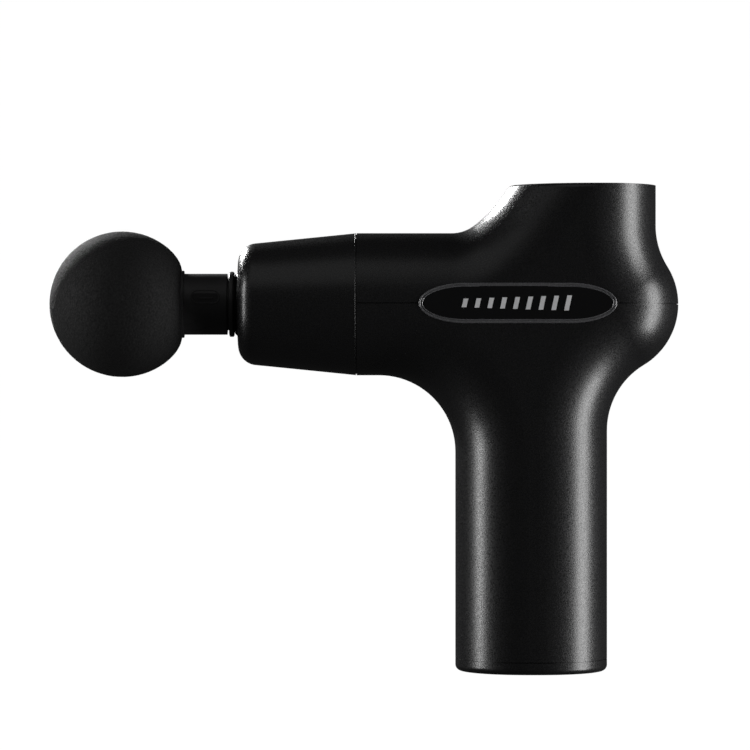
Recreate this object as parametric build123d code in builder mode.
"""Percussion massage gun: battery in the handle, upright motor in the tower, Scotch yoke in the barrel.

The frame has +Z up and its origin in the middle of the handle's flat base. The barrel lies along X
and the massage head points towards -X. Every length is in millimetres. At rest the piston is fully
drawn in, with the crank pin at its rearmost point.
"""

import math
import os

from build123d import *

os.makedirs("parts", exist_ok=True)

# ---------------------------------------------------------------- driving dimensions: the outside
BARREL_Z = 120.0  # height of the barrel's axis, which is also the split between the two shells
BARREL_R = 23.3
HANDLE_HALF = 24.85  # half the handle's width along X
DEPTH_HALF = 23.3  # half the body's depth along Y
ROUND_R = 23.2  # rounding of the body's long edges
BLEND_R = 25.0  # hollow blend from the barrel into the handle
DOME_X = 24.9  # centre of the barrel's round rear end
TOWER_TOP = 158.8
TOWER_FRONT = -7.0
TOWER_REAR = 40.8
FLARE_R1, FLARE_A1 = 12.0, 36.0  # first arc of the slope in front of the tower, and where it ends
FLARE_R2, FLARE_A2 = 40.0, 54.0  # second arc, which ends at the slope's steepest angle
TOP_EDGE_R = 1.6
WALL = 2.4

SEAM_X = -57.2  # seam between the shells and the nose cone
NOSE_FRONT = -96.0
NOSE_R_FRONT = 19.4
NOSE_EDGE_R = 6.2
NOSE_WALL = 2.2
NOSE_HOLE_R = 11.4
SPIGOT_R, SPIGOT_IN, SPIGOT_LENGTH = 19.8, 18.2, 5.3

CAP_SEAM = 3.9  # height of the seam between the handle and its base cap
CAP_EDGE_R = 2.0
CAP_FLOOR = 5.0
COLLAR_TOP = 9.0
GROOVE_WIDTH, GROOVE_DEPTH = 0.3, 0.45  # shadow line at the seams

BADGE_X = -5.2
BADGE_LENGTH, BADGE_HEIGHT, BADGE_END = 64.0, 13.1, 15.0
BADGE_RIM = 1.1  # width of the rim moulded round each badge
BADGE_FLOOR = 21.9  # distance of the pocket's floor from the middle plane

# ---------------------------------------------------------------- driving dimensions: the drive
TOWER_X = (TOWER_FRONT + TOWER_REAR) / 2  # the motor's upright axis
CRANK_R = 5.0  # half the stroke
PIN_R = 3.0
BEARING_R = 6.0
BEARING_LOW, BEARING_HIGH = 117.5, 122.5
YOKE_GAP = 1.3  # room at each side of the bearing
YOKE_WALL = 3.0
YOKE_LOW, YOKE_HIGH = 117.0, 122.8
DISC_LOW, DISC_HIGH = 123.4, 127.6
DISC_R = 8.8
WEIGHT_R = 15.0
SHAFT_R = 2.5
PLATE_LOW, PLATE_HIGH = 129.0, 132.0
MOTOR_R = 17.0
CAN_R, MAGNET_RING_R = 18.2, 15.8  # the turning can, and the bore that its magnets sit in
CAN_LOW, CAN_HIGH = 134.8, 148.2
STACK_LOW, STACK_HIGH = 136.0, 144.5
TOOTH_COUNT = 9
MAGNET_COUNT = 12
MAGNET_GAP = 1.2
STATOR_R = 13.5

PISTON_R = 10.5
PISTON_FRONT = -97.0
PISTON_REAR = -58.0
SOCKET_R, SOCKET_DEPTH = 8.55, 22.0
ROD_R = 6.0
RUNNING = 0.05  # radial clearance of a running fit
SLEEVE_R, SLEEVE_IN = 15.0, 13.0
SLEEVE_FRONT, SLEEVE_REAR = -92.0, -20.0
WEB_IN, WEB_OUT = 14.2, 16.4  # the bracket's side webs, as distances from the middle plane

# ---------------------------------------------------------------- driving dimensions: the head
BALL_R = 24.0
BALL_X = -134.0
BALL_CUT = -113.8
NECK_R, NECK_REAR = 10.0, -99.6
PLUG_R, PLUG_REAR = 8.5, -77.0
CORE_R, CORE_FRONT = 11.0, -132.0
STEM_WEB = (-118.0, -114.0)
WASHER_R, WASHER_FRONT, WASHER_REAR = 10.7, -98.9, -97.3
RING_XS = (-93.0, -84.0)
RING_CENTRE_R, RING_WIRE_R = 7.77, 0.74

# ---------------------------------------------------------------- driving dimensions: the power
CELL_R, CELL_LENGTH, CELL_LOW = 9.2, 65.0, 22.0
CELL_HIGH = CELL_LOW + CELL_LENGTH
CELL_CIRCLE = CELL_R / math.cos(math.radians(30)) + 0.05
CELL_ANGLES = (90, 210, 330)
HOLDER_R = 20.5
TAB_THICK = 0.2
BOARD_Z, BOARD_THICK = 100.0, 1.6
BOARD_X, BOARD_LENGTH, BOARD_WIDTH = -2.0, 34.0, 30.0
SWITCH_X, JACK_X = -10.5, 9.5
RECESS_DEPTH = 2.0
ROCKER_PIVOT_Z = 4.0
ROCKER_TILT = 10.0  # the rocker rests this far off level, and is pressed as far the other way
SCREEN_R, SCREEN_THICK = 20.0, 1.5

BARREL_AXIS = Axis((0, 0, BARREL_Z), (1, 0, 0))


# ---------------------------------------------------------------- helpers
def save(builder, name):
    """Labels a finished piece and writes it as one STEP file."""
    builder.part.label = name
    export_step(builder.part, f"parts/{name}.step")
    print(f"{name:20s} {len(builder.part.solids())} solids  {builder.part.volume:9.1f} mm3")


def along(x):
    """A sketch plane square to the barrel at x, with its origin on the barrel's axis."""
    return Plane(origin=(x, 0, BARREL_Z), x_dir=(0, 1, 0), z_dir=(1, 0, 0))


def tube(start_x, end_x, outer, inner=0.0):
    """A round bar or tube on the barrel's axis."""
    with BuildPart() as made:
        with BuildSketch(along(start_x)):
            Circle(outer)
            if inner:
                Circle(inner, mode=Mode.SUBTRACT)
        extrude(amount=end_x - start_x)
    return made.part


def post(x, y, low, high, outer, inner=0.0):
    """An upright round bar or tube."""
    with BuildPart() as made:
        with BuildSketch(Plane.XY.offset(low)):
            with Locations((x, y)):
                Circle(outer)
                if inner:
                    Circle(inner, mode=Mode.SUBTRACT)
        extrude(amount=high - low)
    return made.part


def block(low, high):
    """A plain block between two opposite corners."""
    middle = tuple((a + b) / 2 for a, b in zip(low, high))
    sides = [b - a for a, b in zip(low, high)]
    with BuildPart() as made:
        with Locations(middle):
            Box(*sides)
    return made.part


def wire_run(points, radius, bend):
    """A wire of round section along straight runs joined by arcs of one radius."""
    with BuildPart() as made:
        with BuildLine() as route:
            FilletPolyline(*points, radius=bend)
        with BuildSketch(Plane(origin=route.line @ 0, z_dir=route.line % 0)):
            Circle(radius)
        sweep()
    return made.part


# ---------------------------------------------------------------- the body's rounded T shape
def toward(point, centre, distance):
    """The point that far from point in the direction of centre."""
    length = math.dist(point, centre)
    return tuple(p + (c - p) * distance / length for p, c in zip(point, centre))


def arc_through(start, end, centre):
    """The shorter arc between two points round a centre."""
    radius = math.dist(start, centre)
    middle = tuple((a + b) / 2 for a, b in zip(start, end))
    return ThreePointArc(start, toward(centre, middle, radius), end)


def long_edges(body, rear):
    """The edges along both sides of the body's outline, in front of the handle's middle or behind."""
    flat_ends = (
        body.faces().filter_by(Plane.XY).sort_by(Axis.Z)[0],
        body.faces().filter_by(Plane.XY).sort_by(Axis.Z)[-1],
        body.faces().filter_by(Plane.YZ).sort_by(Axis.X)[0],
    )
    end_edges = [edge for face in flat_ends for edge in face.edges()]
    side_edges = [e for face in body.faces().filter_by(Plane.XZ) for e in face.edges()]
    return [e for e in side_edges if e not in end_edges and (e.center().X > 0) == rear]


def rounded_body(inset, front_x, bottom_z, top_z):
    """The handle, barrel and tower as one solid, inset from the outer surface by a wall's thickness.

    Its side outline is drawn from arcs and lines that meet smoothly, extruded through the body's
    depth, and rounded along both sides until the barrel is a round bar.
    """
    under, over = BARREL_Z - BARREL_R + inset, BARREL_Z + BARREL_R - inset
    front, rear = -HANDLE_HALF + inset, HANDLE_HALF - inset
    hollow_r, dome_r = BLEND_R + inset, BARREL_R - inset
    under_centre = (front - hollow_r, under - hollow_r)

    # the slope in front of the tower, from its top edge down
    steep, gentle = math.radians(FLARE_A2), math.radians(FLARE_A1)
    second_rise = FLARE_R2 * (math.cos(gentle) - math.cos(steep))
    first_rise = FLARE_R1 * (1 - math.cos(gentle))
    straight_rise = TOWER_TOP - BARREL_Z - BARREL_R - first_rise - second_rise
    second_end = (
        TOWER_FRONT - straight_rise / math.tan(steep) + inset * math.sin(steep),
        TOWER_TOP - straight_rise - inset * math.cos(steep),
    )
    second_centre = (
        second_end[0] - (FLARE_R2 + inset) * math.sin(steep),
        second_end[1] + (FLARE_R2 + inset) * math.cos(steep),
    )
    first_end = (
        second_centre[0] + (FLARE_R2 + inset) * math.sin(gentle),
        second_centre[1] - (FLARE_R2 + inset) * math.cos(gentle),
    )
    first_centre = (first_end[0] - (FLARE_R1 + inset) * math.sin(gentle), over + FLARE_R1 + inset)
    slope_top = (second_end[0] + (top_z - second_end[1]) / math.tan(steep), top_z)

    # the round rear end and the two hollows beside it
    dome = (DOME_X, BARREL_Z)
    tower_rear = TOWER_REAR - inset
    upper_x, lower_x = tower_rear + hollow_r, rear + hollow_r
    reach = dome_r + hollow_r
    upper_centre = (upper_x, BARREL_Z + math.sqrt(reach**2 - (upper_x - DOME_X) ** 2))
    lower_centre = (lower_x, BARREL_Z - math.sqrt(reach**2 - (lower_x - DOME_X) ** 2))
    upper_touch = toward(dome, upper_centre, dome_r)
    lower_touch = toward(dome, lower_centre, dome_r)

    depth = DEPTH_HALF - inset
    with BuildPart() as blank:
        with BuildSketch(Plane.XZ.offset(-depth)):
            with BuildLine():
                Line((front, bottom_z), (front, under_centre[1]))
                arc_through((front, under_centre[1]), (under_centre[0], under), under_centre)
                Polyline((under_centre[0], under), (front_x, under), (front_x, over),
                         (first_centre[0], over))
                arc_through((first_centre[0], over), first_end, first_centre)
                arc_through(first_end, second_end, second_centre)
                Polyline(second_end, slope_top, (tower_rear, top_z), (tower_rear, upper_centre[1]))
                arc_through((tower_rear, upper_centre[1]), upper_touch, upper_centre)
                ThreePointArc(upper_touch, (DOME_X + dome_r, BARREL_Z), lower_touch)
                arc_through(lower_touch, (rear, lower_centre[1]), lower_centre)
                Polyline((rear, lower_centre[1]), (rear, bottom_z), (front, bottom_z))
            make_face()
        extrude(amount=2 * depth)
    # the front and rear roundings meet near the tower's top, so each is cut on a body of its own
    with BuildPart() as rear_rounded:
        add(blank.part)
        fillet(long_edges(rear_rounded, rear=True), radius=ROUND_R - inset)
    with BuildPart() as made:
        add(blank.part)
        fillet(long_edges(made, rear=False), radius=ROUND_R - inset)
        add(rear_rounded.part, mode=Mode.INTERSECT)
    return made.part


def badge_outline(margin=0.0):
    """Long oval with straight middle and elliptical ends, grown by a margin, on the open sketch."""
    end, half = BADGE_END + margin, BADGE_HEIGHT / 2 + margin
    straight = BADGE_LENGTH - 2 * BADGE_END
    Rectangle(straight, 2 * half)
    with Locations((-straight / 2, 0), (straight / 2, 0)):
        Ellipse(end, half)


def badge_prism(side, low, high, margin=0.0):
    """The badge's oval as a bar, between two distances from the middle plane on one side."""
    with BuildPart() as made:
        with BuildSketch(Plane(origin=(BADGE_X, side * low, BARREL_Z), x_dir=(1, 0, 0),
                               z_dir=(0, side, 0))):
            badge_outline(margin)
        extrude(amount=high - low)
    return made.part


outer_body = rounded_body(0.0, SEAM_X, CAP_SEAM, TOWER_TOP)
cavity = rounded_body(WALL, SEAM_X - 1.0, CAP_SEAM - 1.0, TOWER_TOP - 3.4)
handle_section = rounded_body(0.0, SEAM_X, 0.0, TOWER_TOP)
seam_core = rounded_body(GROOVE_DEPTH, SEAM_X - 1.0, -1.0, TOWER_TOP + 1.0)


def shadow_line(low_corner, high_corner):
    """What a seam's shadow line cuts away: the part of a block that lies outside the seam core."""
    with BuildPart() as made:
        add(block(low_corner, high_corner))
        add(seam_core, mode=Mode.SUBTRACT)
    return made.part


def handle_core(inset, low, high):
    """The handle's shape, set in from its outside, between two heights."""
    with BuildPart() as made:
        add(rounded_body(inset, SEAM_X, 0.0, TOWER_TOP - 4))
        split(bisect_by=Plane.XY.offset(high), keep=Keep.BOTTOM)
        split(bisect_by=Plane.XY.offset(low), keep=Keep.TOP)
    return made.part


SCREW_XS = (-22.0, -8.0)
SCREW_RISE = 4.2  # how far the side screws sit above and below the split
BOSS_R = 2.9
SCREW_R, SCREW_HEAD_R, SCREW_HEAD = 1.1, 2.1, 0.9


def side_boss(x, z, side, low, high, radius):
    """A round bar square to the middle plane, between two distances from it."""
    with BuildPart() as made:
        with BuildSketch(Plane(origin=(x, side * low, z), x_dir=(1, 0, 0), z_dir=(0, side, 0))):
            Circle(radius)
        extrude(amount=high - low)
    return made.part


def shell(upper):
    """One of the two shells: the hollow body above or below the split, with what both have."""
    sign = 1 if upper else -1
    screw_z = BARREL_Z + sign * SCREW_RISE
    with BuildPart() as made:
        add(outer_body)
        if upper:
            top_face = made.faces().sort_by(Axis.Z)[-1]
            fillet(top_face.edges(), radius=TOP_EDGE_R)
        add(cavity, mode=Mode.SUBTRACT)
        # the ring and spigot that carry the nose cone
        add(tube(SEAM_X, SEAM_X + 3.0, SPIGOT_R + 1.5, SPIGOT_IN))
        add(tube(SEAM_X - SPIGOT_LENGTH, SEAM_X + 3.0, SPIGOT_R, SPIGOT_IN))
        for side in (-1, 1):
            for x in SCREW_XS:
                add(side_boss(x, screw_z, side, WEB_OUT, BADGE_FLOOR, BOSS_R))
            add(badge_prism(side, BADGE_FLOOR, DEPTH_HALF + 2), mode=Mode.SUBTRACT)
            for x in SCREW_XS:
                add(side_boss(x, screw_z, side, WEB_OUT - 1, BADGE_FLOOR + 1, SCREW_R),
                    mode=Mode.SUBTRACT)
                add(side_boss(x, screw_z, side, BADGE_FLOOR - SCREW_HEAD, BADGE_FLOOR + 1,
                              SCREW_HEAD_R), mode=Mode.SUBTRACT)
        split(bisect_by=Plane.XY.offset(BARREL_Z), keep=Keep.TOP if upper else Keep.BOTTOM)
        # half of the shadow line that runs round the split
        add(shadow_line((SEAM_X - 1, -40, BARREL_Z - GROOVE_WIDTH / 2),
                        (60, 40, BARREL_Z + GROOVE_WIDTH / 2)), mode=Mode.SUBTRACT)
    return made


# ---------------------------------------------------------------- outer casing
upper_housing = shell(upper=True)
with BuildPart() as upper_finished:
    add(upper_housing.part)
    # seat for the round control screen, and the window under it
    add(post(TOWER_X, 0, TOWER_TOP - SCREEN_THICK - 0.1, TOWER_TOP + 1, SCREEN_R + 0.2),
        mode=Mode.SUBTRACT)
    add(post(TOWER_X, 0, TOWER_TOP - 5, TOWER_TOP + 1, SCREEN_R - 2.5), mode=Mode.SUBTRACT)
save(upper_finished, "upper_housing")

lower_housing = shell(upper=False)
with BuildPart() as lower_finished:
    add(lower_housing.part)
    # two bosses for the base cap's screws
    for y in (-17.2, 17.2):
        add(post(0, y, 9.4, 16.4, 3.1))
        add(block((-1.2, min(y, 1.24 * y), 9.4), (1.2, max(y, 1.24 * y), 16.4)))
        add(post(0, y, 9.0, 16.0, 1.2), mode=Mode.SUBTRACT)
    # shadow line above the base cap
    add(shadow_line((-40, -40, CAP_SEAM - 1), (40, 40, CAP_SEAM + GROOVE_WIDTH)),
        mode=Mode.SUBTRACT)
save(lower_finished, "lower_housing")

with BuildPart() as nose_cone:
    taper = (BARREL_R - NOSE_R_FRONT) / (SEAM_X - NOSE_FRONT)
    with BuildSketch(Plane.XZ):
        with BuildLine():
            Polyline(
                (SEAM_X - GROOVE_WIDTH, BARREL_Z + BARREL_R - GROOVE_WIDTH * taper),
                (NOSE_FRONT, BARREL_Z + NOSE_R_FRONT),
                (NOSE_FRONT, BARREL_Z + NOSE_HOLE_R),
                (NOSE_FRONT + NOSE_WALL, BARREL_Z + NOSE_HOLE_R),
                (NOSE_FRONT + NOSE_WALL, BARREL_Z + NOSE_R_FRONT - NOSE_WALL),
                (SEAM_X, BARREL_Z + BARREL_R - NOSE_WALL - 0.6),
                (SEAM_X, BARREL_Z + BARREL_R - GROOVE_DEPTH),
                (SEAM_X - GROOVE_WIDTH, BARREL_Z + BARREL_R - GROOVE_DEPTH),
                close=True,
            )
        make_face()
    revolve(axis=BARREL_AXIS)
    front_ring = nose_cone.faces().filter_by(Plane.YZ).sort_by(Axis.X)[0]
    fillet(front_ring.outer_wire().edges(), radius=NOSE_EDGE_R)
save(nose_cone, "nose_cone")

with BuildPart() as nose_seal:
    add(tube(NOSE_FRONT + NOSE_WALL, NOSE_FRONT + NOSE_WALL + 1.6, 14.5, PISTON_R + 0.1))
save(nose_seal, "nose_seal")

with BuildPart() as base_cap:
    add(handle_section)
    split(bisect_by=Plane.XY.offset(CAP_SEAM), keep=Keep.BOTTOM)
    fillet(base_cap.faces().sort_by(Axis.Z)[0].edges(), radius=CAP_EDGE_R)
    # collar that plugs into the handle, and the floor inside it
    add(handle_core(WALL + 0.1, CAP_SEAM, COLLAR_TOP))
    add(handle_core(WALL + 2.0, CAP_FLOOR, COLLAR_TOP + 1), mode=Mode.SUBTRACT)
    # shallow recesses for the switch and the charging socket, and the holes behind them
    with BuildSketch(Plane.XY):
        with Locations((SWITCH_X, 0)):
            RectangleRounded(15.4, 11.6, 1.8)
        with Locations((JACK_X, 0)):
            Circle(5.8)
    extrude(amount=RECESS_DEPTH, mode=Mode.SUBTRACT)
    with BuildSketch(Plane.XY):
        with Locations((SWITCH_X, 0)):
            Rectangle(13.0, 9.0)
        with Locations((JACK_X, 0)):
            Circle(4.0)
    extrude(amount=CAP_FLOOR + 1, mode=Mode.SUBTRACT)
    for y in (-17.2, 17.2):
        add(post(0, y, -1, 10, 1.3), mode=Mode.SUBTRACT)
        add(post(0, y, -1, 2.6, 2.7), mode=Mode.SUBTRACT)
save(base_cap, "base_cap")

for label, side in (("badge_left", -1), ("badge_right", 1)):
    with BuildPart() as badge:
        add(badge_prism(side, BADGE_FLOOR, DEPTH_HALF + 1, margin=-BADGE_RIM))
        add(outer_body, mode=Mode.INTERSECT)
    save(badge, label)

for label, side in (("badge_rim_left", -1), ("badge_rim_right", 1)):
    with BuildPart() as rim:
        add(badge_prism(side, BADGE_FLOOR, DEPTH_HALF + 1, margin=-0.05))
        add(badge_prism(side, BADGE_FLOOR - 1, DEPTH_HALF + 2, margin=-BADGE_RIM + 0.02),
            mode=Mode.SUBTRACT)
        add(outer_body, mode=Mode.INTERSECT)
    save(rim, label)

with BuildPart() as base_screws:
    for y in (-17.2, 17.2):
        add(post(0, y, 0.4, 2.6, 2.5))
        add(post(0, y, 2.6, 15.0, 1.2))
save(base_screws, "base_screws")

for label, side in (("side_screws_left", -1), ("side_screws_right", 1)):
    with BuildPart() as screws:
        for x in SCREW_XS:
            for z in (BARREL_Z - SCREW_RISE, BARREL_Z + SCREW_RISE):
                add(side_boss(x, z, side, WEB_IN + 0.7, BADGE_FLOOR - SCREW_HEAD, SCREW_R - 0.02))
                add(side_boss(x, z, side, BADGE_FLOOR - SCREW_HEAD, BADGE_FLOOR - 0.1,
                              SCREW_HEAD_R - 0.1))
    save(screws, label)

# ---------------------------------------------------------------- control screen on the tower
with BuildPart() as control_screen:
    add(post(TOWER_X, 0, TOWER_TOP - SCREEN_THICK - 0.1, TOWER_TOP - 0.1, SCREEN_R))
    fillet(control_screen.edges().sort_by(Axis.Z)[-1], radius=0.4)
save(control_screen, "control_screen")

SCREEN_BOARD_LOW = 151.6
with BuildPart() as screen_board:
    add(post(TOWER_X, 0, SCREEN_BOARD_LOW, SCREEN_BOARD_LOW + 1.2, 16.8))
save(screen_board, "screen_board")

with BuildPart() as screen_lights:
    with Locations((TOWER_X, 0, SCREEN_BOARD_LOW + 1.2 + 1.5)):
        Box(9, 12, 3)
    light_z = SCREEN_BOARD_LOW + 1.2 + 0.5
    with Locations((TOWER_X, 0, light_z)):
        with PolarLocations(12.5, 6, start_angle=-75, angular_range=150):
            Box(1.6, 2.4, 1.0)
save(screen_lights, "screen_lights")

# ---------------------------------------------------------------- massage head
with BuildPart() as massage_ball:
    with Locations((BALL_X, 0, BARREL_Z)):
        Sphere(BALL_R)
    split(bisect_by=along(BALL_CUT), keep=Keep.BOTTOM)
    fillet(massage_ball.edges().filter_by(GeomType.CIRCLE).sort_by(Axis.X)[-1], radius=3.0)
    add(tube(CORE_FRONT, BALL_CUT + 1, CORE_R), mode=Mode.SUBTRACT)
save(massage_ball, "massage_ball")

with BuildPart() as head_stem:
    add(tube(CORE_FRONT, BALL_CUT, CORE_R))
    fillet(head_stem.edges().filter_by(GeomType.CIRCLE).sort_by(Axis.X)[0], radius=2.0)
    add(tube(BALL_CUT, NECK_REAR, NECK_R))
    add(tube(NECK_REAR, PLUG_REAR, PLUG_R))
    chamfer(head_stem.edges().filter_by(GeomType.CIRCLE).sort_by(Axis.X)[-1], length=1.2)
    for x in RING_XS:
        add(tube(x - 0.9, x + 0.9, PLUG_R + 1, RING_CENTRE_R - RING_WIRE_R), mode=Mode.SUBTRACT)
    # the stem is hollow from both ends, with a web left between the two bores
    add(tube(CORE_FRONT - 1, STEM_WEB[0], CORE_R - 3.0), mode=Mode.SUBTRACT)
    add(tube(STEM_WEB[1], PLUG_REAR + 1, PLUG_R - 2.7), mode=Mode.SUBTRACT)
    # long moulded marks on the neck, one each side
    for side in (-1, 1):
        with BuildSketch(Plane(origin=(-106.5, side * (NECK_R - 0.6), BARREL_Z + 2.2),
                               x_dir=(1, 0, 0), z_dir=(0, side, 0))):
            SlotOverall(8.4, 3.4)
        extrude(amount=3, mode=Mode.SUBTRACT)
save(head_stem, "head_stem")

with BuildPart() as stem_washer:
    add(tube(WASHER_FRONT, WASHER_REAR, WASHER_R, PLUG_R))
    fillet(stem_washer.edges().filter_by(GeomType.CIRCLE).group_by(SortBy.RADIUS)[-1], radius=0.5)
save(stem_washer, "stem_washer")

with BuildPart() as stem_rings:
    for x in RING_XS:
        with BuildSketch(Plane.XZ):
            with Locations((x, BARREL_Z + RING_CENTRE_R)):
                Circle(RING_WIRE_R)
        revolve(axis=BARREL_AXIS)
save(stem_rings, "stem_rings")

# ---------------------------------------------------------------- piston and its guides
pin_x = TOWER_X + CRANK_R
yoke_half_x = BEARING_R + YOKE_GAP + YOKE_WALL
yoke_slot_y = CRANK_R + BEARING_R + 0.5

with BuildPart() as piston:
    add(tube(PISTON_FRONT, PISTON_REAR, PISTON_R))
    chamfer(piston.edges().filter_by(GeomType.CIRCLE).sort_by(Axis.X)[0], length=0.8)
    add(tube(PISTON_FRONT - 1, PISTON_FRONT + SOCKET_DEPTH, SOCKET_R), mode=Mode.SUBTRACT)
    add(tube(PISTON_REAR, pin_x - yoke_half_x - 0.5, ROD_R))
    # hollow behind the socket, which saves weight, and a flat on the rod's end under the crank disc
    add(tube(PISTON_FRONT + SOCKET_DEPTH - 1, PISTON_REAR - 3.0, PISTON_R - 2.8), mode=Mode.SUBTRACT)
    add(tube(PISTON_REAR - 4.0, -8.0, ROD_R - 2.8), mode=Mode.SUBTRACT)
    add(block((0.5, -8, YOKE_HIGH), (14, 8, BARREL_Z + 8)), mode=Mode.SUBTRACT)
save(piston, "piston")

with BuildPart() as yoke:
    with BuildSketch(Plane.XY.offset(YOKE_LOW)):
        with Locations((pin_x, 0)):
            RectangleRounded(2 * yoke_half_x, 2 * (yoke_slot_y + YOKE_WALL), 4.0)
            Rectangle(2 * (BEARING_R + YOKE_GAP), 2 * yoke_slot_y, mode=Mode.SUBTRACT)
    extrude(amount=YOKE_HIGH - YOKE_LOW)
    add(tube(pin_x - yoke_half_x - 0.5, pin_x - yoke_half_x + 1.0, ROD_R - 3.2))
save(yoke, "yoke")

with BuildPart() as guide_sleeve:
    add(tube(SLEEVE_FRONT, SLEEVE_REAR, SLEEVE_R, SLEEVE_IN))
    # slots that lighten the sleeve between its two bushes
    with BuildSketch(Plane.XY.offset(BARREL_Z - SLEEVE_R - 1)):
        with Locations((-53, 0)):
            SlotOverall(16, 8)
    extrude(amount=2 * SLEEVE_R + 2, mode=Mode.SUBTRACT)
save(guide_sleeve, "guide_sleeve")

with BuildPart() as front_bush:
    add(tube(-91.0, -63.0, SLEEVE_IN, PISTON_R + RUNNING))
save(front_bush, "front_bush")

with BuildPart() as rear_bush:
    add(tube(-36.0, -24.0, SLEEVE_IN, ROD_R + RUNNING))
save(rear_bush, "rear_bush")

with BuildPart() as front_damper:
    add(tube(-89.5, -83.5, 17.5, SLEEVE_R))
save(front_damper, "front_damper")

BRACKET_RING_R = 18.4
with BuildPart() as rear_damper:
    add(tube(-43.0, -38.0, BARREL_R - WALL - 0.05, SLEEVE_R))
save(rear_damper, "rear_damper")

# ---------------------------------------------------------------- motor bracket
with BuildPart() as motor_bracket:
    add(tube(-26.0, SLEEVE_REAR, BRACKET_RING_R, SLEEVE_R))
    for side in (-1, 1):
        low, high = sorted((side * WEB_IN, side * WEB_OUT))
        add(block((-26, low, 111), (-3, high, PLATE_LOW)))
    # flats on the ring, level with the webs
    for side in (-1, 1):
        low, high = sorted((side * WEB_OUT, side * 30))
        add(block((-27, low, 100), (-19, high, PLATE_LOW)), mode=Mode.SUBTRACT)
    add(tube(SLEEVE_FRONT, SLEEVE_REAR, SLEEVE_R), mode=Mode.SUBTRACT)
    add(block((-26, -16, PLATE_LOW), (TOWER_X, 16, PLATE_HIGH)))
    add(post(TOWER_X, 0, PLATE_LOW, PLATE_HIGH, 18.0))
    add(tube(SLEEVE_FRONT, SLEEVE_REAR, SLEEVE_R), mode=Mode.SUBTRACT)
    add(post(TOWER_X, 0, PLATE_LOW - 1, PLATE_HIGH + 1, 5.6), mode=Mode.SUBTRACT)
    with Locations((TOWER_X, 0, PLATE_LOW)):
        with PolarLocations(12.0, 4, start_angle=45):
            Cylinder(1.5, 20, mode=Mode.SUBTRACT)
            Cone(2.6, 1.5, 1.6, align=(Align.CENTER, Align.CENTER, Align.MIN), mode=Mode.SUBTRACT)
    for side in (-1, 1):
        for x in SCREW_XS:
            for z in (BARREL_Z - SCREW_RISE, BARREL_Z + SCREW_RISE):
                add(side_boss(x, z, side, WEB_IN - 1, WEB_OUT + 1, SCREW_R + 0.02),
                    mode=Mode.SUBTRACT)
save(motor_bracket, "motor_bracket")

with BuildPart() as motor_screws:
    with Locations((TOWER_X, 0, PLATE_LOW)):
        with PolarLocations(12.0, 4, start_angle=45):
            Cone(2.55, 1.45, 1.6, align=(Align.CENTER, Align.CENTER, Align.MIN))
            Cylinder(1.45, 4.6, align=(Align.CENTER, Align.CENTER, Align.MIN))
save(motor_screws, "motor_screws")

# ---------------------------------------------------------------- motor, fixed part
with BuildPart() as motor_base:
    add(post(TOWER_X, 0, PLATE_HIGH, 134.0, MOTOR_R - 0.5))
    add(post(TOWER_X, 0, PLATE_LOW + 0.2, 146.0, 5.5))
    add(post(TOWER_X, 0, 120, 150, 4.0), mode=Mode.SUBTRACT)
    with Locations((TOWER_X, 0, PLATE_LOW)):
        with PolarLocations(12.0, 4, start_angle=45):
            Cylinder(1.5, 20, mode=Mode.SUBTRACT)
save(motor_base, "motor_base")

with BuildPart() as stator:
    with BuildSketch(Plane.XY.offset(STACK_LOW)):
        with Locations((TOWER_X, 0)):
            Circle(7.6)
            Circle(5.5, mode=Mode.SUBTRACT)
            with PolarLocations(9.8, TOOTH_COUNT):
                Rectangle(5.4, 2.2)
        with Locations((TOWER_X, 0)):
            with PolarLocations(12.6, TOOTH_COUNT):
                Rectangle(1.4, 7.2)
        with Locations((TOWER_X, 0)):
            Circle(STATOR_R, mode=Mode.INTERSECT)
            Circle(5.5, mode=Mode.SUBTRACT)
    extrude(amount=STACK_HIGH - STACK_LOW)
save(stator, "stator")

with BuildPart() as windings:
    with Locations((TOWER_X, 0, (STACK_LOW + STACK_HIGH) / 2)):
        with PolarLocations(10.0, TOOTH_COUNT):
            Box(3.6, 4.6, STACK_HIGH - STACK_LOW + 2.0)
            Box(4.0, 2.2, STACK_HIGH - STACK_LOW, mode=Mode.SUBTRACT)
save(windings, "windings")

with BuildPart() as motor_bearings:
    for low in (PLATE_LOW + 0.2, 143.5):
        for outer, inner in ((4.0, 3.55), (3.0, SHAFT_R + RUNNING)):
            add(post(TOWER_X, 0, low, low + 2.5, outer, inner))
save(motor_bearings, "motor_bearings")

# ---------------------------------------------------------------- motor, turning part
with BuildPart() as rotor_can:
    add(post(TOWER_X, 0, CAN_LOW, CAN_HIGH, CAN_R, MAGNET_RING_R))
    add(post(TOWER_X, 0, CAN_HIGH - 1.5, CAN_HIGH, MAGNET_RING_R + 0.6))
    add(post(TOWER_X, 0, 146.3, CAN_HIGH, 4.5))
    add(post(TOWER_X, 0, 140, 150, SHAFT_R), mode=Mode.SUBTRACT)
    with BuildSketch(Plane.XY.offset(CAN_HIGH - 2)):
        with Locations((TOWER_X, 0)):
            with PolarLocations(10.2, 6):
                SlotOverall(7.0, 4.6, rotation=90)
    extrude(amount=3, mode=Mode.SUBTRACT)
    fillet(rotor_can.edges().filter_by(GeomType.CIRCLE).group_by(Axis.Z)[-1]
           .group_by(SortBy.RADIUS)[-1], radius=0.6)
save(rotor_can, "rotor_can")

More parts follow.
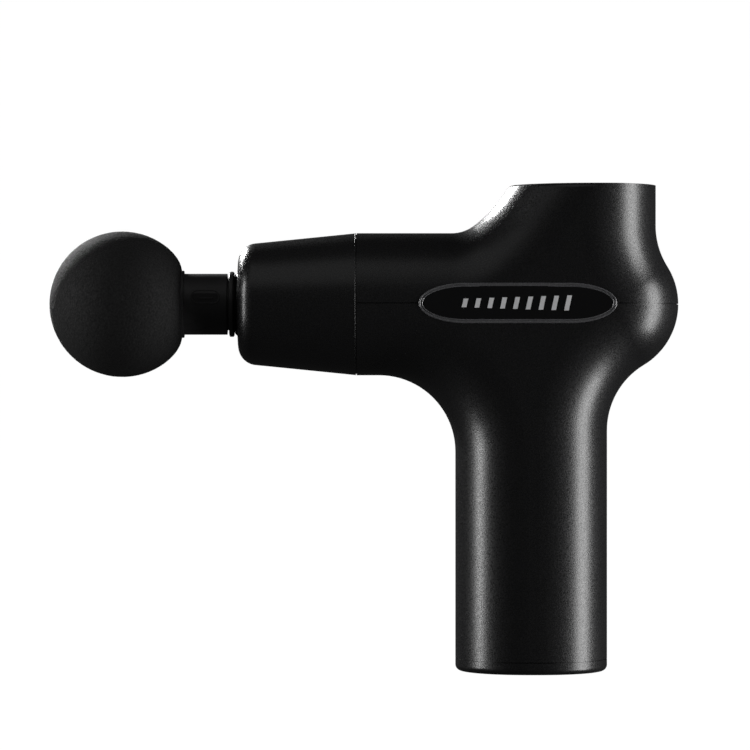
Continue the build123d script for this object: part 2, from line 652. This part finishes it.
with BuildPart() as magnets:
    with BuildSketch(Plane.XY.offset(STACK_LOW)):
        with Locations((TOWER_X, 0)):
            Circle(MAGNET_RING_R)
            Circle(14.3, mode=Mode.SUBTRACT)
            with PolarLocations(15.0, MAGNET_COUNT):
                Rectangle(4.0, MAGNET_GAP, mode=Mode.SUBTRACT)
    extrude(amount=STACK_HIGH - STACK_LOW)
save(magnets, "magnets")

with BuildPart() as motor_shaft:
    add(post(TOWER_X, 0, DISC_LOW, 149.4, SHAFT_R))
    chamfer(motor_shaft.edges(), length=0.3)
save(motor_shaft, "motor_shaft")

with BuildPart() as crank_disc:
    with BuildSketch(Plane.XY.offset(DISC_LOW)):
        # the counterweight, opposite the pin, then the round middle
        with Locations((TOWER_X, 0)):
            Circle(WEIGHT_R)
        with Locations((TOWER_X + WEIGHT_R + 1.0, 0)):
            Rectangle(2 * WEIGHT_R, 2 * WEIGHT_R, mode=Mode.SUBTRACT)
        with Locations((TOWER_X, 0)):
            Circle(DISC_R)
            Circle(SHAFT_R, mode=Mode.SUBTRACT)
        with Locations((pin_x, 0)):
            Circle(2.0, mode=Mode.SUBTRACT)
    extrude(amount=DISC_HIGH - DISC_LOW)
save(crank_disc, "crank_disc")

with BuildPart() as crank_pin:
    add(post(pin_x, 0, BEARING_LOW - 0.9, DISC_LOW, PIN_R))
    add(post(pin_x, 0, BEARING_HIGH, DISC_LOW, PIN_R + 0.8))
    add(post(pin_x, 0, DISC_LOW, DISC_HIGH, 2.0))
    chamfer(crank_pin.edges().filter_by(GeomType.CIRCLE).group_by(Axis.Z)[0], length=0.4)
save(crank_pin, "crank_pin")

with BuildPart() as pin_bearing:
    for outer, inner in ((BEARING_R, BEARING_R - 0.9), (PIN_R + 0.9, PIN_R)):
        add(post(pin_x, 0, BEARING_LOW, BEARING_HIGH, outer, inner))
    with Locations((pin_x, 0, (BEARING_LOW + BEARING_HIGH) / 2)):
        with PolarLocations((BEARING_R + PIN_R) / 2, 10):
            Sphere(0.55)
save(pin_bearing, "pin_bearing")

# ---------------------------------------------------------------- battery
cell_spots = [
    (CELL_CIRCLE * math.cos(math.radians(a)), CELL_CIRCLE * math.sin(math.radians(a)))
    for a in CELL_ANGLES
]

with BuildPart() as battery_cells:
    for x, y in cell_spots:
        add(post(x, y, CELL_LOW, CELL_HIGH - 1.2, CELL_R))
        add(post(x, y, CELL_HIGH - 1.2, CELL_HIGH, CELL_R - 2.6))
save(battery_cells, "battery_cells")

STRIPS = ((CELL_LOW - TAB_THICK, 0, 1), (CELL_HIGH, 1, 2))  # height, and the two cells each joins


def tab_strip(low, high, first, second, width):
    """A flat strip between the middles of two cells."""
    (ax, ay), (bx, by) = cell_spots[first], cell_spots[second]
    turn = math.degrees(math.atan2(by - ay, bx - ax))
    with BuildPart() as made:
        with BuildSketch(Plane.XY.offset(low)):
            with Locations(((ax + bx) / 2, (ay + by) / 2)):
                Rectangle(math.dist((ax, ay), (bx, by)), width, rotation=turn)
        extrude(amount=high - low)
    return made.part


for label, low, high in (
    ("lower_cell_holder", CELL_LOW - 2.6, CELL_LOW + 7.0),
    ("upper_cell_holder", CELL_HIGH - 7.0, CELL_HIGH + 2.6),
):
    with BuildPart() as holder:
        add(post(0, 0, low, high, HOLDER_R))
        for x, y in cell_spots:
            add(post(x, y, CELL_LOW, CELL_HIGH, CELL_R + 0.05), mode=Mode.SUBTRACT)
            add(post(x, y, low - 1, high + 1, CELL_R - 2.4), mode=Mode.SUBTRACT)
        add(post(0, 0, low - 1, high + 1, 1.4), mode=Mode.SUBTRACT)
        for z, first, second in STRIPS:
            add(tab_strip(z - 0.1, z + TAB_THICK + 0.1, first, second, 6.2), mode=Mode.SUBTRACT)
        # channels for the wires that run past the cells
        for angle in (30, 150, 270):
            spot = (HOLDER_R - 1.5) * math.cos(math.radians(angle)), (
                HOLDER_R - 1.5) * math.sin(math.radians(angle))
            add(post(*spot, low - 1, high + 1, 2.6), mode=Mode.SUBTRACT)
        # three posts on the upper holder carry the driver board
        if low > CELL_LOW:
            for angle in (30, 150, 270):
                x, y = 12.5 * math.cos(math.radians(angle)), 12.5 * math.sin(math.radians(angle))
                add(post(x, y, high - 1, BOARD_Z, 2.3))
    save(holder, label)

with BuildPart() as battery_tabs:
    # nickel discs on every cell end, and a strip that joins two of them at each end of the pack
    for z in (CELL_LOW - TAB_THICK, CELL_HIGH):
        for x, y in cell_spots:
            add(post(x, y, z, z + TAB_THICK, 4.6))
    for z, first, second in STRIPS:
        add(tab_strip(z, z + TAB_THICK, first, second, 6.0))
save(battery_tabs, "battery_tabs")

# ---------------------------------------------------------------- driver board
board_top = BOARD_Z + BOARD_THICK
with BuildPart() as driver_board:
    with BuildSketch(Plane.XY.offset(BOARD_Z)):
        with Locations((BOARD_X, 0)):
            RectangleRounded(BOARD_LENGTH, BOARD_WIDTH, 3.0)
    extrude(amount=BOARD_THICK)
save(driver_board, "driver_board")

with BuildPart() as board_chips:
    for x, y, length, width, height in (
        (-9.0, 1.0, 7.0, 7.0, 1.2),
        (1.0, -10.5, 5.0, 6.0, 1.1),
        (7.5, -10.5, 5.0, 6.0, 1.1),
        (-5.5, -10.5, 5.0, 6.0, 1.1),
        (-14.0, 9.0, 5.0, 4.0, 1.1),
    ):
        with Locations((x, y, board_top)):
            Box(length, width, height, align=(Align.CENTER, Align.CENTER, Align.MIN))
save(board_chips, "board_chips")

with BuildPart() as board_capacitors:
    for x, y in ((-3.0, 10.0), (4.0, 10.0)):
        add(post(x, y, board_top, board_top + 6.0, 2.9))
    fillet(board_capacitors.edges().filter_by(GeomType.CIRCLE).group_by(Axis.Z)[-1], radius=0.4)
save(board_capacitors, "board_capacitors")

# ---------------------------------------------------------------- power switch and charging socket
SWITCH_LENGTH, SWITCH_WIDTH = 12.8, 8.8
FLANGE_LOW = 1.2
WELL_LENGTH, WELL_WIDTH, WELL_TOP = 11.4, 7.0, 8.5
ROCKER_LENGTH, ROCKER_WIDTH = 10.4, 6.4
PIVOT_R = 0.9

with BuildPart() as switch_body:
    with BuildSketch(Plane.XY.offset(FLANGE_LOW)):
        with Locations((SWITCH_X, 0)):
            RectangleRounded(SWITCH_LENGTH + 1.6, SWITCH_WIDTH + 1.8, 1.2)
    extrude(amount=RECESS_DEPTH - FLANGE_LOW)
    with BuildSketch(Plane.XY.offset(FLANGE_LOW)):
        with Locations((SWITCH_X, 0)):
            Rectangle(SWITCH_LENGTH, SWITCH_WIDTH)
    extrude(amount=14.5 - FLANGE_LOW)
    with BuildSketch(Plane.XY):
        with Locations((SWITCH_X, 0)):
            Rectangle(WELL_LENGTH, WELL_WIDTH)
    extrude(amount=WELL_TOP, mode=Mode.SUBTRACT)
    with Locations((SWITCH_X, 0, ROCKER_PIVOT_Z)):
        Cylinder(PIVOT_R + RUNNING, 8.0, rotation=(90, 0, 0), mode=Mode.SUBTRACT)
save(switch_body, "switch_body")

rocker_frame = Plane.XZ.offset(-ROCKER_WIDTH / 2)
with BuildPart() as rocker:
    with BuildSketch(rocker_frame):
        with BuildLine():
            half = ROCKER_LENGTH / 2
            ThreePointArc((-half, -2.6), (0, -1.9), (half, -2.6))
            Polyline((half, -2.6), (half, 0.6), (half - 1.6, 2.2), (1.6 - half, 2.2),
                     (-half, 0.6), (-half, -2.6))
        make_face()
    extrude(amount=ROCKER_WIDTH)
    fillet(rocker.edges().group_by(Axis.Z)[0], radius=0.5)
    Cylinder(PIVOT_R, 8.0, rotation=(90, 0, 0))
rocker.part = rocker.part.rotate(Axis.Y, ROCKER_TILT).moved(
    Location((SWITCH_X, 0, ROCKER_PIVOT_Z))
)
save(rocker, "rocker")

with BuildPart() as switch_blades:
    for x in (SWITCH_X - 3.0, SWITCH_X + 3.0):
        with Locations((x, 0, 14.5)):
            Box(0.8, 4.8, 4.2, align=(Align.CENTER, Align.CENTER, Align.MIN))
save(switch_blades, "switch_blades")

with BuildPart() as charge_socket:
    add(post(JACK_X, 0, FLANGE_LOW, RECESS_DEPTH, 5.2))
    add(post(JACK_X, 0, FLANGE_LOW, 13.0, 3.9))
    with Locations((JACK_X, 0, CAP_FLOOR + 0.3)):
        Box(8.6, 8.6, 8.4, align=(Align.CENTER, Align.CENTER, Align.MIN))
    add(post(JACK_X, 0, 0, 11.2, 2.8), mode=Mode.SUBTRACT)
    add(post(JACK_X, 0, 10, 14, 1.0), mode=Mode.SUBTRACT)
    outer_rim = charge_socket.edges().filter_by(GeomType.CIRCLE).group_by(Axis.Z)[0]
    fillet(outer_rim.sort_by(SortBy.RADIUS)[-1], radius=0.5)
save(charge_socket, "charge_socket")

with BuildPart() as charge_pin:
    add(post(JACK_X, 0, 3.0, 15.0, 1.0))
    fillet(charge_pin.edges().group_by(Axis.Z)[0], radius=0.5)
save(charge_pin, "charge_pin")

# ---------------------------------------------------------------- wiring, inside the casing
WIRE_R, THIN_WIRE_R, BEND = 0.7, 0.5, 2.0
UNDER_CELLS, OVER_CELLS = 17.2, 95.0  # heights at which the wires cross below and above the cells

with BuildPart() as battery_wires:
    x, y = cell_spots[1]
    add(wire_run([(x, y, CELL_LOW - TAB_THICK), (x, y, UNDER_CELLS), (0, -18.9, UNDER_CELLS),
                  (0, -18.9, OVER_CELLS), (8, -9, OVER_CELLS), (8, -9, BOARD_Z)], WIRE_R, BEND))
    x, y = cell_spots[0]
    add(wire_run([(x, y, CELL_HIGH + TAB_THICK), (x, y, OVER_CELLS), (x + 8, y - 10, OVER_CELLS),
                  (x + 8, y - 10, BOARD_Z)], WIRE_R, BEND))
save(battery_wires, "battery_wires")

with BuildPart() as charge_wires:
    for start_x, rise_x, rise_y, end_x in ((7.4, 15.5, 9.9, 12.0), (11.6, 17.0, 8.8, 14.2)):
        add(wire_run([(start_x, 0, 13.7), (start_x, 0, UNDER_CELLS), (rise_x, rise_y, UNDER_CELLS),
                      (rise_x, rise_y, OVER_CELLS), (end_x, -1, OVER_CELLS), (end_x, -1, BOARD_Z)],
                     WIRE_R, BEND))
save(charge_wires, "charge_wires")

with BuildPart() as switch_wires:
    for start_x, rise_x, rise_y, end_x in ((-13.5, -17.0, 8.8, -15.0), (-7.5, -15.5, 9.9, -12.0)):
        add(wire_run([(start_x, 3.2, UNDER_CELLS), (rise_x, rise_y, UNDER_CELLS),
                      (rise_x, rise_y, OVER_CELLS), (end_x, -1, OVER_CELLS),
                      (end_x, -1, BOARD_Z)], WIRE_R, BEND))
save(switch_wires, "switch_wires")

with BuildPart() as motor_wires:
    for y in (-2.2, 0.0, 2.2):
        add(wire_run([(TOWER_X + MOTOR_R - 0.4, y, 133), (36.8, y, 133), (36.8, y, 106),
                      (10.5, y, 106), (10.5, y, board_top)], WIRE_R, BEND))
save(motor_wires, "motor_wires")

with BuildPart() as screen_wires:
    for y in (6.0, 7.2, 8.4):
        add(wire_run([(31.0, y, SCREEN_BOARD_LOW), (31.0, y, 149.6), (35.3, y, 149.6),
                      (35.3, y, 106), (12.0, y, 106), (12.0, y, board_top)], THIN_WIRE_R, 0.9))
save(screen_wires, "screen_wires")
